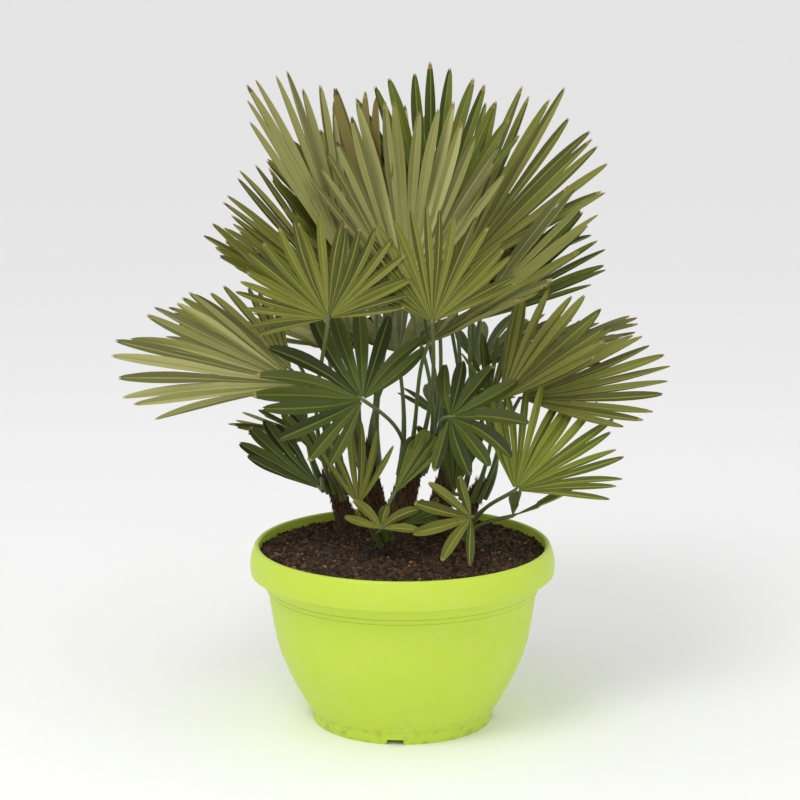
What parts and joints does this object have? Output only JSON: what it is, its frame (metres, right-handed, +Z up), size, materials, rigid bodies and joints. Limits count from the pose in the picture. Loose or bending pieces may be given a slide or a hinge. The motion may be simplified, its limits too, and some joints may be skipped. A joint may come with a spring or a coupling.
{
  "type": "potted fan palm",
  "caption": "Clump-forming European fan palm with stiff fan-shaped fronds, planted in a round lime-green plastic bowl pot filled with soil.",
  "frame": {"origin": "centre of the boss on the pot's flat underside, on the ground", "axes": "+Z up along the pot's axis; the view that shows the plant best is from -Y, with +X to its right"},
  "size_m": [0.5297, 0.4731, 0.6377],
  "materials": {
    "pot": "moulded, satin",
    "soil": "loose potting soil",
    "stem": "fibrous leaf sheaths",
    "frond": "leathery leaf with grey scurf"
  },
  "bodies": {
    "root": {"frond_01": "frond", "frond_02": "frond", "frond_03": "frond", "frond_04": "frond", "frond_05": "frond", "frond_06": "frond", "frond_07": "frond", "frond_08": "frond", "frond_09": "frond", "frond_10": "frond", "frond_11": "frond", "frond_12": "frond", "frond_13": "frond", "frond_14": "frond", "frond_15": "frond", "frond_16": "frond", "frond_17": "frond", "frond_18": "frond", "frond_19": "frond", "frond_20": "frond", "frond_21": "frond", "frond_23": "frond", "frond_24": "frond", "frond_25": "frond", "frond_26": "frond", "frond_27": "frond", "frond_28": "frond", "frond_29": "frond", "frond_30": "frond", "frond_31": "frond", "frond_32": "frond", "frond_33": "frond", "frond_34": "frond", "frond_35": "frond", "frond_36": "frond", "frond_37": "frond", "frond_38": "frond", "frond_39": "frond", "frond_40": "frond", "frond_41": "frond", "frond_42": "frond", "frond_43": "frond", "frond_44": "frond", "frond_45": "frond", "frond_47": "frond", "frond_48": "frond", "pot": "pot", "soil": "soil", "stem_back_left": "stem", "stem_back_right": "stem", "stem_left": "stem", "stem_main": "stem", "stem_right": "stem", "sucker_front": "stem", "sucker_right": "stem"}
  },
  "joints": []
}
